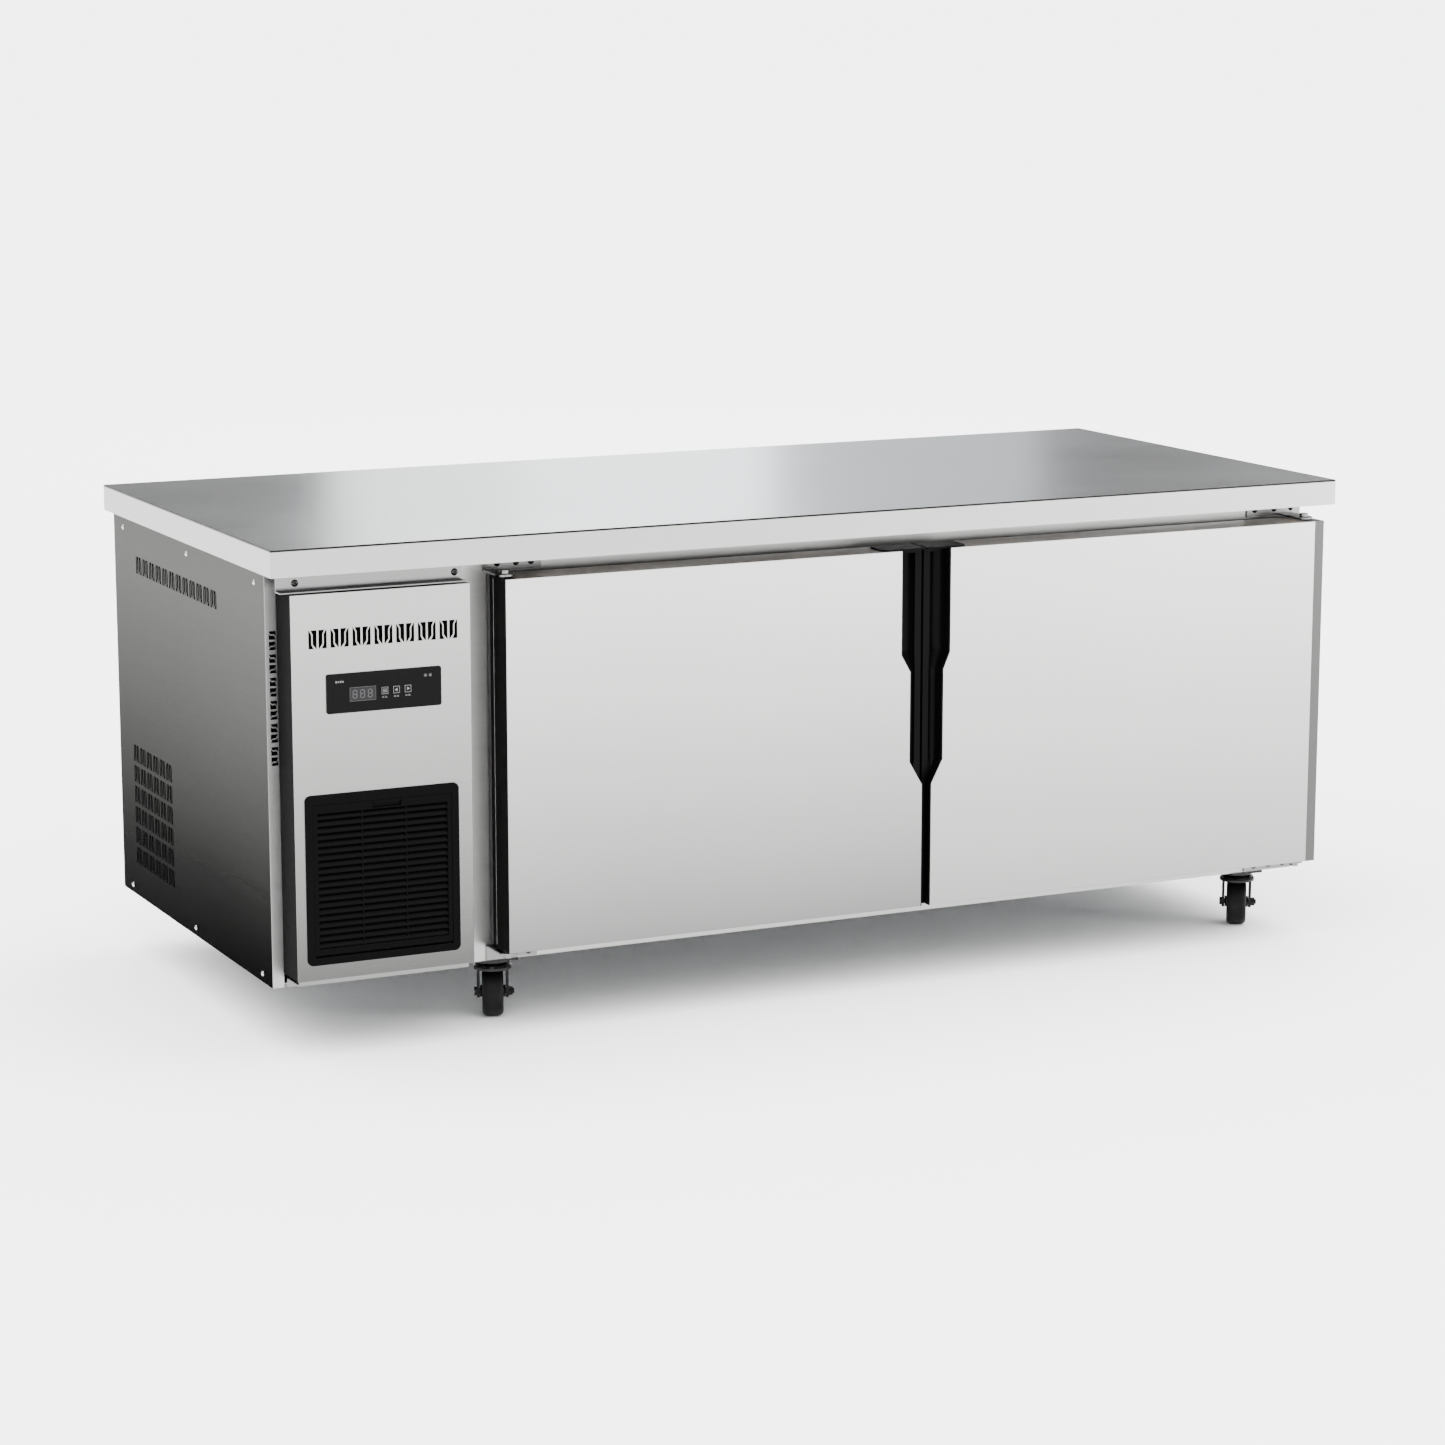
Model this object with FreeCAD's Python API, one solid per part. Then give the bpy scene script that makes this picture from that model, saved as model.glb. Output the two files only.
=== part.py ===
import FreeCAD, Part
import math
import os

# Undercounter refrigerator: two hinged doors on the right, a machine compartment on the left.
# One STEP file per separate piece.  Millimetres.  X runs right along the length, Y runs back,
# Z is up.  The origin is on the floor under the middle of the worktop, and the front faces -Y.

V = FreeCAD.Vector

# ---- driving dimensions --------------------------------------------------------------------
LENGTH = 1800.0
DEPTH = 800.0
HEIGHT = 750.0
TOP_T = 40.0            # worktop edge height
SHEET = 1.5             # outer sheet, folded and drawn a little thick
BODY_X = 888.0          # half length of the cabinet
BODY_BACK = 388.0
BODY_Z = 97.0           # underside of the cabinet
FRONT_Y = -397.0        # front of the doors and of the machine panel
FLANGE_Y = -333.0       # front edge of the left side panel, back of the door skins
FRAME_Y = -318.0        # front frame the gaskets seal on
SPLIT_X = -575.0        # wall between machine compartment and cold compartment
POST_X = -604.0         # left edge of the front frame, tucked in behind the machine panel
COLD_X = (-500.0, 828.0)
COLD_Y = 328.0
COLD_Z = (157.0, 660.0)
MULLION_X = (120.0, 192.0)
MULLION_BACK = -262.0

PANEL_X = (-871.0, -597.0)
PANEL_Z = (119.0, 683.0)
DOOR_Z = (125.0, 684.0)
DOOR_LEFT_EDGE = -541.0
DOOR_RIGHT_EDGE = 882.0
PIVOT_Y = -370.0
STEP_Z = (318.0, 355.0, 496.0, 523.0)   # where the handle edge steps in

WHEEL_R = 37.5
WHEEL_W = 32.0
CHEEK_X = 19.5          # inner face of the caster's side plates
TRAIL = 16.0
CASTERS = {"front_left": (-525.0, -290.0, 22.0), "front_right": (803.0, -290.0, 33.0),
           "rear_left": (-525.0, 290.0, 24.0), "rear_right": (803.0, 290.0, 31.0)}

UNDER_TOP = HEIGHT - TOP_T
FIT = 0.05              # radial running clearance
GAP = 0.3               # air between pieces of different bodies

nodes = {}


# ---- helpers -------------------------------------------------------------------------------
def box(x0, x1, y0, y1, z0, z1):
    return Part.makeBox(x1 - x0, y1 - y0, z1 - z0, V(x0, y0, z0))


def rod(start, end, r):
    a = V(*start)
    d = V(*end) - a
    return Part.makeCylinder(r, d.Length, a, d)


def prism(points, y0, y1):
    """A polygon given as (x, z) pairs, drawn from y0 to y1."""
    loop = [V(x, y0, z) for x, z in points]
    return Part.Face(Part.makePolygon(loop + loop[:1])).extrude(V(0, y1 - y0, 0))


def side_prism(points, x0, x1):
    """A polygon given as (y, z) pairs, drawn from x0 to x1."""
    loop = [V(x0, y, z) for y, z in points]
    return Part.Face(Part.makePolygon(loop + loop[:1])).extrude(V(x1 - x0, 0, 0))


def fuse(*shapes):
    if len(shapes) == 1:
        return shapes[0]
    return shapes[0].multiFuse(list(shapes[1:])).removeSplitter()


def cut(shape, *tools):
    return shape.cut(list(tools))


def rounded(shape, r, test):
    return shape.makeFillet(r, [e for e in shape.Edges if test(e)])


def runs(edge, axis):
    """True for a straight edge that runs along the axis."""
    ends = edge.Vertexes
    if len(ends) != 2:
        return False
    d = ends[1].Point - ends[0].Point
    return d.Length > 1e-6 and abs(d.normalize().dot(axis)) > 0.9999


def near(edge, axis_name, value):
    return all(abs(getattr(v.Point, axis_name) - value) < 1e-3 for v in edge.Vertexes)


def revolve(points):
    """A turned solid from (radius, height) pairs, about the Z axis."""
    loop = [V(r, 0, h) for r, h in points]
    return Part.Face(Part.makePolygon(loop + loop[:1])).revolve(V(0, 0, 0), V(0, 0, 1), 360)


def moved(shape, x=0.0, y=0.0, z=0.0):
    copy = shape.copy()
    copy.translate(V(x, y, z))
    return copy


def turned(shape, degrees, axis=V(0, 0, 1), centre=V(0, 0, 0)):
    copy = shape.copy()
    copy.rotate(centre, axis, degrees)
    return copy


def pipe(points, r):
    parts = [rod(a, b, r) for a, b in zip(points, points[1:])]
    parts += [Part.makeSphere(r, V(*p)) for p in points[1:-1]]
    return fuse(*parts)


# ---- the vent pattern: groups of four slots, with bars like a folded fan ---------------------
SLOT_H = 27.0
GROUP_W = 27.5
GROUP_PITCH = 33.3
HALF_GROUP = [[(0, 0), (0, 1), (0.9, 1), (4.4, 0.77), (4.4, 0.24), (7.6, 0)],
              [(3.2, 1), (12.3, 1), (12.3, 0), (11.4, 0), (6.4, 0.25), (6.4, 0.77)]]


def vents(start, along, up, through, groups, rows=1, row_pitch=33.4, pitch=GROUP_PITCH, slot_h=SLOT_H):
    """Cutting tools for rows of slot groups.  start is the lower corner of the first slot."""
    tools = []
    for row in range(rows):
        for group in range(groups):
            base = start + along * (group * pitch) - up * (row * row_pitch)
            for mirror in (False, True):
                for slot in HALF_GROUP:
                    loop = [base + along * (GROUP_W - a if mirror else a) + up * (b * slot_h) for a, b in slot]
                    tools.append(Part.Face(Part.makePolygon(loop + loop[:1])).extrude(through))
    return tools


# ---- worktop -------------------------------------------------------------------------------
half_l, half_d = LENGTH / 2, DEPTH / 2
top = box(-half_l, half_l, -half_d, half_d, UNDER_TOP, HEIGHT)
top = rounded(top, 2.0, lambda e: runs(e, V(0, 0, 1)))
top = rounded(top, 1.2, lambda e: near(e, "z", HEIGHT))
lip = 22.0
nodes["worktop_skin"] = cut(
    top,
    box(-half_l + SHEET, half_l - SHEET, -half_d + SHEET, half_d - SHEET, UNDER_TOP + SHEET, HEIGHT - SHEET),
    box(-half_l + lip, half_l - lip, -half_d + lip, half_d - lip, UNDER_TOP - 1, UNDER_TOP + 5))
nodes["worktop_core"] = box(-half_l + 1.8, half_l - 1.8, -half_d + 1.8, half_d - 1.8,
                            UNDER_TOP + 1.7, HEIGHT - 1.7)

# ---- outer panels --------------------------------------------------------------------------
TOP_Z = UNDER_TOP - 0.2
left = fuse(box(-BODY_X, -BODY_X + SHEET, FLANGE_Y, BODY_BACK, BODY_Z, TOP_Z),
            box(-BODY_X, -870.0, FLANGE_Y, FLANGE_Y + SHEET, BODY_Z, TOP_Z))
left = rounded(left, 1.0, lambda e: runs(e, V(0, 0, 1)) and near(e, "x", -BODY_X) and near(e, "y", FLANGE_Y))
through_x = V(6, 0, 0)
left = cut(left,
           *vents(V(-BODY_X - 2, -118, 624), V(0, 1, 0), V(0, 0, 1), through_x, 12),
           *vents(V(-BODY_X - 2, 122, 317), V(0, 1, 0), V(0, 0, 1), through_x, 6, 6),
           *vents(V(-871.5, FLANGE_Y - 2, 427), V(0, 0, 1), V(-1, 0, 0), V(0, 6, 0), 6, pitch=33.8, slot_h=10.5))
nodes["left_side_panel"] = left
nodes["right_side_panel"] = box(BODY_X - SHEET, BODY_X, FRAME_Y + SHEET + 0.1, BODY_BACK, BODY_Z, TOP_Z)
nodes["back_panel"] = box(SPLIT_X, BODY_X - SHEET - 0.1, BODY_BACK - SHEET, BODY_BACK, BODY_Z, TOP_Z)
CABLE = (-845.0, 150.0)
rear = box(-BODY_X + SHEET + 0.1, SPLIT_X - 0.1, BODY_BACK - SHEET, BODY_BACK, BODY_Z, TOP_Z)
rear = cut(rear,
           *vents(V(-846, BODY_BACK + 2, 560), V(1, 0, 0), V(0, 0, 1), V(0, -6, 0), 7, 3),
           *vents(V(-780, BODY_BACK + 2, 330), V(1, 0, 0), V(0, 0, 1), V(0, -6, 0), 5, 5),
           rod((CABLE[0], BODY_BACK - 5, CABLE[1]), (CABLE[0], BODY_BACK + 5, CABLE[1]), 10.0))
nodes["rear_vent_panel"] = rear
gland = fuse(rod((CABLE[0], BODY_BACK + 0.1, CABLE[1]), (CABLE[0], BODY_BACK + 7, CABLE[1]), 14.0),
             rod((CABLE[0], BODY_BACK - 12, CABLE[1]), (CABLE[0], BODY_BACK + 1, CABLE[1]), 9.7))
nodes["cable_gland"] = cut(gland, rod((CABLE[0], BODY_BACK - 13, CABLE[1]), (CABLE[0], BODY_BACK + 8, CABLE[1]), 4.5))
nodes["base_pan"] = box(-BODY_X + SHEET + 0.1, BODY_X - SHEET - 0.1, FRAME_Y + SHEET + 0.1,
                        BODY_BACK - SHEET - 0.1, BODY_Z, BODY_Z + 1.3)

# ---- insulated cold compartment --------------------------------------------------------------
fx0, fx1 = SPLIT_X + 0.2, BODY_X - SHEET - 0.3
fy0, fy1 = FRAME_Y + SHEET + 0.3, BODY_BACK - SHEET - 0.3
fz0, fz1 = BODY_Z + 1.5, TOP_Z - 0.2
ix0, ix1 = COLD_X[0] - 1.2, COLD_X[1] + 1.2
iy1 = COLD_Y + 1.2
iz0, iz1 = COLD_Z[0] - 1.2, COLD_Z[1] + 1.2
s = 0.1
nodes["insulation_foam"] = Part.makeCompound([
    box(fx0, fx1, iy1, fy1, fz0, fz1),
    box(fx0, ix0, fy0, iy1 - s, fz0, fz1),
    box(ix1, fx1, fy0, iy1 - s, fz0, fz1),
    box(ix0 + s, ix1 - s, fy0, iy1 - s, fz0, iz0),
    box(ix0 + s, ix1 - s, fy0, iy1 - s, iz1, fz1)])
nodes["inner_liner"] = cut(box(COLD_X[0] - 1, COLD_X[1] + 1, fy0, COLD_Y + 1, COLD_Z[0] - 1, COLD_Z[1] + 1),
                           box(COLD_X[0], COLD_X[1], fy0 - 1, COLD_Y, COLD_Z[0], COLD_Z[1]))
fr0, fr1 = FRAME_Y, FRAME_Y + SHEET
nodes["front_frame"] = Part.makeCompound([
    box(POST_X, BODY_X, fr0, fr1, COLD_Z[1], TOP_Z),
    box(POST_X, BODY_X, fr0, fr1, BODY_Z, COLD_Z[0]),
    box(POST_X, COLD_X[0], fr0, fr1, COLD_Z[0] + s, COLD_Z[1] - s),
    box(COLD_X[1], BODY_X, fr0, fr1, COLD_Z[0] + s, COLD_Z[1] - s)])
mullion = box(MULLION_X[0], MULLION_X[1], FRAME_Y, MULLION_BACK, COLD_Z[0] + s, COLD_Z[1] - s)
nodes["centre_mullion"] = rounded(mullion, 3.0, lambda e: runs(e, V(0, 0, 1)))

# ---- air duct, evaporator and its fan at the left end of the cold compartment -----------------
DUCT_X = -430.0
FAN_C = (0.0, 530.0)
duct = cut(box(COLD_X[0] + 0.3, DUCT_X, -300, 325, COLD_Z[0] + 1, COLD_Z[1] - 1),
           box(COLD_X[0] - 1, DUCT_X - 1.2, -298.8, 323.8, COLD_Z[0] + 2.2, COLD_Z[1] - 2.2),
           rod((DUCT_X - 5, FAN_C[0], FAN_C[1]), (DUCT_X + 5, FAN_C[0], FAN_C[1]), 74.0),
           *[box(DUCT_X - 5, DUCT_X + 5, -220 + 60 * c, -180 + 60 * c, 200 + 16 * r, 206 + 16 * r)
             for c in range(8) for r in range(6)])
guard = [Part.makeTorus(r, 1.4, V(DUCT_X - 0.6, FAN_C[0], FAN_C[1]), V(1, 0, 0)) for r in (18.0, 32.0, 46.0, 60.0)]
guard += [turned(rod((DUCT_X - 0.6, FAN_C[0] - 75, FAN_C[1]), (DUCT_X - 0.6, FAN_C[0] + 75, FAN_C[1]), 1.5),
                 a, V(1, 0, 0), V(DUCT_X, FAN_C[0], FAN_C[1])) for a in (0, 60, 120)]
nodes["evaporator_cover"] = fuse(duct, *guard)
coil = box(-490, -442, -270, 285, 185, 400)
coil = cut(coil, *[box(-488, -430, -262 + 20 * k, -250 + 20 * k, 180, 410) for k in range(27)])
evap_motor = fuse(rod((-495, FAN_C[0], FAN_C[1]), (-466, FAN_C[0], FAN_C[1]), 30.0),
                  rod((-466, FAN_C[0], FAN_C[1]), (-440, FAN_C[0], FAN_C[1]), 4.0),
                  box(-498.8, -494, -60, 60, FAN_C[1] - 12, FAN_C[1] + 12))
nodes["evaporator_unit"] = Part.makeCompound([coil, evap_motor])


def fan(hub_r, hub_h, tip_r, blades, bore_r, chord):
    """An axial fan about the Z axis, from z = 0 to hub_h."""
    blade = box(hub_r - 2, tip_r, -chord / 2, chord / 2, -0.9, 0.9)
    blade = rounded(blade, chord * 0.3, lambda e: runs(e, V(0, 0, 1)) and near(e, "x", tip_r))
    blade = moved(turned(blade, 24, V(1, 0, 0)), z=hub_h / 2)
    hub = Part.makeCylinder(hub_r, hub_h)
    body = fuse(hub, *[turned(blade, 360.0 * k / blades) for k in range(blades)])
    return cut(body, Part.makeCylinder(bore_r, 3 * hub_h, V(0, 0, -hub_h)))


evap_fan = turned(fan(20.0, 20.0, 68.0, 5, 4.0 + FIT, 34.0), 90, V(0, 1, 0))
nodes["evaporator_fan"] = moved(evap_fan, -461.0, FAN_C[0], FAN_C[1])

# ---- shelves -------------------------------------------------------------------------------
SHELF_Z = 400.0


def shelf(x0, x1, y0, y1):
    r = 3.5
    rim = [rod((x0, y0, SHELF_Z), (x1, y0, SHELF_Z), r), rod((x0, y1, SHELF_Z), (x1, y1, SHELF_Z), r),
           rod((x0, y0, SHELF_Z), (x0, y1, SHELF_Z), r), rod((x1, y0, SHELF_Z), (x1, y1, SHELF_Z), r)]
    rim += [Part.makeSphere(r, V(x, y, SHELF_Z)) for x in (x0, x1) for y in (y0, y1)]
    rim.append(rod((x0, (y0 + y1) / 2, SHELF_Z - 0.5), (x1, (y0 + y1) / 2, SHELF_Z - 0.5), 2.5))
    count = int((x1 - x0) / 26.0)
    step = (x1 - x0) / count
    wires = [rod((x0 + step * k, y0, SHELF_Z + 1.8), (x0 + step * k, y1, SHELF_Z + 1.8), 1.7)
             for k in range(1, count)]
    return fuse(*(rim + wires))


nodes["shelf_left"] = shelf(-420.0, 146.0, -250.0, 308.0)
nodes["shelf_right"] = shelf(166.0, 815.0, -250.0, 308.0)


def pilaster(x, y, facing):
    """A slotted upright 22 mm wide; facing is the way its slots look."""
    bar = box(-11, 11, 0, 2.5, 175, 645)
    bar = cut(bar, *[box(-5, 5, -1, 4, 190 + 25 * k, 194 + 25 * k) for k in range(18)])
    return moved(turned(bar, {"-y": 0, "+x": 90, "+y": 180, "-x": 270}[facing]), x, y)


uprights = [pilaster(DUCT_X + 2.6, y, "+x") for y in (-200.0, 250.0)]
uprights += [pilaster(COLD_X[1] - 2.6, y, "-x") for y in (-200.0, 250.0)]
uprights += [pilaster(156.0, COLD_Y - 2.6, "-y"), pilaster(156.0, MULLION_BACK + 2.6, "+y")]
nodes["shelf_uprights"] = Part.makeCompound(uprights)
clips = [box(DUCT_X + 2.7, DUCT_X + 15, y - 9, y + 9, 391, 396.3) for y in (-200.0, 250.0)]
clips += [box(COLD_X[1] - 18, COLD_X[1] - 2.7, y - 9, y + 9, 391, 396.3) for y in (-200.0, 250.0)]
clips += [box(140, 172, 302, COLD_Y - 2.7, 391, 396.3), box(140, 172, MULLION_BACK + 2.7, -244, 391, 396.3)]
nodes["shelf_clips"] = Part.makeCompound(clips)

# ---- machine compartment front panel ---------------------------------------------------------
px0, px1 = PANEL_X
pz0, pz1 = PANEL_Z
back_y = FLANGE_Y - 0.3
panel = fuse(box(px0, px1, FRONT_Y, FRONT_Y + SHEET, pz0, pz1),
             box(px1 - SHEET, px1, FRONT_Y, back_y, pz0, pz1),
             box(px0 + 11, px1, FRONT_Y, back_y, pz1 - SHEET, pz1),
             box(px0 + 11, px1, FRONT_Y, back_y, pz0, pz0 + SHEET))
panel = rounded(panel, 1.2, lambda e: runs(e, V(0, 0, 1)) and near(e, "x", px1) and near(e, "y", FRONT_Y))
CTRL_X = (-820.0, -644.0)
CTRL_Z = (508.5, 566.0)
GRILLE_X = (-856.0, -619.0)
GRILLE_Z = (141.0, 392.0)
nodes["machine_panel"] = cut(
    panel,
    box(CTRL_X[0] + 8, CTRL_X[1] - 8, FRONT_Y - 5, FRONT_Y + 5, CTRL_Z[0] + 6, CTRL_Z[1] - 6),
    box(GRILLE_X[0] + 7, GRILLE_X[1] - 7, FRONT_Y - 5, FRONT_Y + 5, GRILLE_Z[0] + 7, GRILLE_Z[1] - 7),
    *vents(V(-845, FRONT_Y - 2, 604.5), V(1, 0, 0), V(0, 0, 1), V(0, 6, 0), 7))
trim = box(px0, px0 + 10.8, FRONT_Y + SHEET + 0.1, back_y, pz0, pz1)
nodes["machine_panel_trim"] = rounded(trim, 2.5, lambda e: runs(e, V(0, 0, 1)) and near(e, "x", px0))
bracket_y = -372.0
nodes["machine_panel_brackets"] = Part.makeCompound([
    fuse(box(-884, -600, bracket_y, bracket_y + SHEET, 685, TOP_Z - 0.2),
         box(-884, -600, -391, bracket_y, 685, 685 + SHEET),
         box(-884, -600, bracket_y, FLANGE_Y - 0.3, TOP_Z - 0.2 - SHEET, TOP_Z - 0.2)),
    fuse(box(-866, -602, -386, FLANGE_Y - 0.3, 110, 110 + SHEET),
         box(-866, -602, -386, -386 + SHEET, 110, 117),
         box(-866, -602, FLANGE_Y - 0.3 - SHEET, FLANGE_Y - 0.3, BODY_Z, 111))])

# ---- controller ----------------------------------------------------------------------------
BUTTON_X = (-731.5, -713.7, -696.0)
BUTTON_Z = 536.8
BUTTON = (10.5, 11.0)
fascia_y = FRONT_Y - 1.6
fascia = box(CTRL_X[0], CTRL_X[1], fascia_y, FRONT_Y - 0.05, CTRL_Z[0], CTRL_Z[1])
fascia = rounded(fascia, 3.5, lambda e: runs(e, V(0, 1, 0)))
wells = [box(x - BUTTON[0] / 2 - 0.35, x + BUTTON[0] / 2 + 0.35, fascia_y - 1, FRONT_Y + 4.5,
             BUTTON_Z - BUTTON[1] / 2 - 0.35, BUTTON_Z + BUTTON[1] / 2 + 0.35) for x in BUTTON_X]
fascia = cut(fascia, *wells)
nodes["control_fascia"] = fascia
housing = box(CTRL_X[0] + 8.5, CTRL_X[1] - 8.5, FRONT_Y, FRONT_Y + 48, CTRL_Z[0] + 6.5, CTRL_Z[1] - 6.5)
nodes["control_housing"] = cut(housing, *wells)
nodes["display_window"] = box(-785.0, -745.0, fascia_y - 0.5, fascia_y - 0.05, 524.5, 545.0)
for number, x in enumerate(BUTTON_X, 1):
    key = box(x - BUTTON[0] / 2, x + BUTTON[0] / 2, fascia_y - 1.0, FRONT_Y + 3.2,
              BUTTON_Z - BUTTON[1] / 2, BUTTON_Z + BUTTON[1] / 2)
    key = rounded(key, 1.2, lambda e: runs(e, V(0, 1, 0)))
    nodes["control_button_%d" % number] = key

# ---- air intake grille -----------------------------------------------------------------------
HATCH_X = (-844.0, -631.0)
HATCH_Z = (153.6, 376.9)
HATCH_PIVOT = (-395.4, 157.0)
gx0, gx1 = GRILLE_X
gz0, gz1 = GRILLE_Z
rim = box(gx0, gx1, FRONT_Y - 2.4, FRONT_Y - 0.05, gz0, gz1)
rim = rounded(rim, 9.0, lambda e: runs(e, V(0, 1, 0)))
rim = rounded(rim, 1.2, lambda e: near(e, "y", FRONT_Y - 2.4))
rim = fuse(rim, box(gx0 + 7.5, gx1 - 7.5, FRONT_Y - 1, -385, gz0 + 7.5, gz1 - 7.5))
pin_r = 1.5
rim = cut(rim, box(HATCH_X[0] - 0.5, HATCH_X[1] + 0.5, -410, -380, HATCH_Z[0] - 1.0, HATCH_Z[1] + 0.6),
          rod((HATCH_X[0] - 3.5, *HATCH_PIVOT), (HATCH_X[1] + 3.5, *HATCH_PIVOT), pin_r + FIT))
nodes["grille_frame"] = rim
hatch_r = 3.4
hatch_front = HATCH_PIVOT[0] - hatch_r
hatch_back = HATCH_PIVOT[0] + hatch_r
hatch = fuse(box(HATCH_X[0], HATCH_X[1], hatch_front, hatch_back, HATCH_PIVOT[1], HATCH_Z[1]),
             rod((HATCH_X[0], *HATCH_PIVOT), (HATCH_X[1], *HATCH_PIVOT), hatch_r))
LOUVRE_X = (-837.5, -637.5)
LOUVRE_Z = (165.0, 364.5)
hatch = cut(hatch, box(LOUVRE_X[0], LOUVRE_X[1], -405, -385, LOUVRE_Z[0], LOUVRE_Z[1]),
            box(-753, -709, hatch_front - 1, hatch_front + 3.4, 366.5, 374.5))
LOUVRES = 20
pitch = (LOUVRE_Z[1] - LOUVRE_Z[0]) / LOUVRES
slats = []
for k in range(LOUVRES):
    z = LOUVRE_Z[0] + pitch * k
    slats.append(side_prism([(hatch_front + 0.5, z + 1.2), (hatch_front + 0.5, z + 3.2),
                             (hatch_back, z + 11.4), (hatch_back, z + 9.6)],
                            LOUVRE_X[0] - 0.5, LOUVRE_X[1] + 0.5))
ribs = [box(x - 1, x + 1, hatch_front + 1.5, hatch_back, LOUVRE_Z[0] - 0.5, LOUVRE_Z[1] + 0.5)
        for x in (-769.0, -701.0)]
studs = [rod((HATCH_X[0] + 1, *HATCH_PIVOT), (HATCH_X[0] - 3, *HATCH_PIVOT), pin_r),
         rod((HATCH_X[1] - 1, *HATCH_PIVOT), (HATCH_X[1] + 3, *HATCH_PIVOT), pin_r)]
pull = box(-751, -711, hatch_front + 0.2, hatch_front + 3.6, 372.2, 374.6)
nodes["grille_hatch"] = fuse(hatch, pull, *(slats + ribs + studs))
mesh_filter = box(-837, -633, -383.8, -379.8, 160, 370)
nodes["air_filter"] = cut(mesh_filter, *[box(-833 + 20 * c, -815 + 20 * c, -385, -379, 164 + 20.4 * r, 182 + 20.4 * r)
                                         for c in range(10) for r in range(10)])

# ---- condensing unit -------------------------------------------------------------------------
UNIT_C = (-740.0, 265.0)
core = box(-850, -630, -330, -280, 140, 390)
core = cut(core, *[box(-846 + 12 * k, -839 + 12 * k, -335, -275, 146, 384) for k in range(18)])
tubes = [rod((-849, y, 160 + 42 * k), (-631, y, 160 + 42 * k), 4.0) for k in range(6) for y in (-318, -292)]
nodes["condenser"] = fuse(core, *tubes)
nodes["fan_shroud"] = cut(box(-850, -630, -279.5, -225, 140, 390),
                          box(-848.5, -631.5, -281, -226.5, 141.5, 388.5),
                          rod((UNIT_C[0], -240, UNIT_C[1]), (UNIT_C[0], -220, UNIT_C[1]), 85.0))
blades = turned(fan(24.0, 24.0, 80.0, 5, 4.0 + FIT, 44.0), -90, V(1, 0, 0))
nodes["condenser_fan"] = moved(blades, UNIT_C[0], -240.0, UNIT_C[1])
motor = fuse(rod((UNIT_C[0], -244, UNIT_C[1]), (UNIT_C[0], -212, UNIT_C[1]), 4.0),
             rod((UNIT_C[0], -212, UNIT_C[1]), (UNIT_C[0], -160, UNIT_C[1]), 36.0),
             *[turned(box(UNIT_C[0] + 30, UNIT_C[0] + 98, -206, -203, UNIT_C[1] - 6, UNIT_C[1] + 6),
                      a, V(0, 1, 0), V(UNIT_C[0], 0, UNIT_C[1])) for a in (45, 135, 225, 315)],
             *[turned(box(UNIT_C[0] + 95, UNIT_C[0] + 98, -224.8, -203, UNIT_C[1] - 6, UNIT_C[1] + 6),
                      a, V(0, 1, 0), V(UNIT_C[0], 0, UNIT_C[1])) for a in (45, 135, 225, 315)])
nodes["condenser_fan_motor"] = motor
shell = revolve([(0, 0), (62, 0), (78, 10), (84, 28), (84, 82), (87, 84), (87, 90), (84, 92), (84, 140),
                 (76, 164), (56, 180), (26, 188), (0, 190)])
compressor = moved(shell, -730, 70, 122)
plate = box(-830, -630, -20, 160, 116, 122)
feet = [rod((x, y, BODY_Z + 1.5), (x, y, 125), 12.0) for x in (-818, -642) for y in (-8, 148)]
relay = box(-670, -628, 40, 100, 190, 250)
nodes["compressor"] = fuse(compressor, plate, relay, *feet)
nodes["refrigerant_pipes"] = Part.makeCompound([
    pipe([(-760, 70, 310.4), (-760, 70, 430), (-612, 70, 430), (-612, -305, 430), (-612, -305, 340),
          (-629, -305, 340)], 4.0),
    pipe([(-700, 100, 307.6), (-700, 100, 480), (-600, 100, 480), (-600, 160, 480), (-575.6, 160, 480)], 5.5),
    fuse(pipe([(-629, -290, 180), (-606, -290, 180), (-606, -120, 180), (-606, -100, 180)], 3.5),
         rod((-606, -110, 180), (-606, 0, 180), 13.0),
         pipe([(-606, 0, 180), (-606, 200, 180), (-606, 200, 440), (-575.6, 200, 440)], 2.5))])
tray = cut(box(-860, -600, 210, 370, BODY_Z + 2, 128), box(-858, -602, 212, 368, BODY_Z + 4, 130))
nodes["condensate_tray"] = tray


# ---- doors ---------------------------------------------------------------------------------
def step_edge(low, mid, high):
    """The free edge of the steel: wide at the foot, stepping in twice for the hand grips."""
    z0, z1 = DOOR_Z
    a, b, c, d = STEP_Z
    return [(low, z0), (low, a), (mid, b), (mid, c), (high, d), (high, z1)]


def hand_channel(width, steps):
    """The finger channel behind the lip: wide at the top, narrow lower down."""
    low, mid, high = steps
    wall, lip_w, y = 2.5, 10.5, -382.0
    r_high = (width - lip_w - high - wall) / 2 - 0.5
    r_mid = (width - lip_w + 1 - mid - wall) / 2 - 0.5
    u_high = high + wall + r_high + 0.5
    u_mid = mid + wall + r_mid + 0.5
    a, b, c, d = STEP_Z

    def ring(u, z, r):
        return Part.Wire(Part.makeCircle(r, V(u, y, z), V(0, 0, 1)))

    parts = [Part.makeCylinder(r_high, DOOR_Z[1] - 6 - d, V(u_high, y, d)),
             Part.makeLoft([ring(u_mid, c, r_mid), ring(u_high, d, r_high)], True),
             Part.makeCylinder(r_mid, c - b, V(u_mid, y, b)),
             Part.makeLoft([ring(u_mid + 1.5, b - 12, 2.5), ring(u_mid, b, r_mid)], True)]
    return parts


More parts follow.
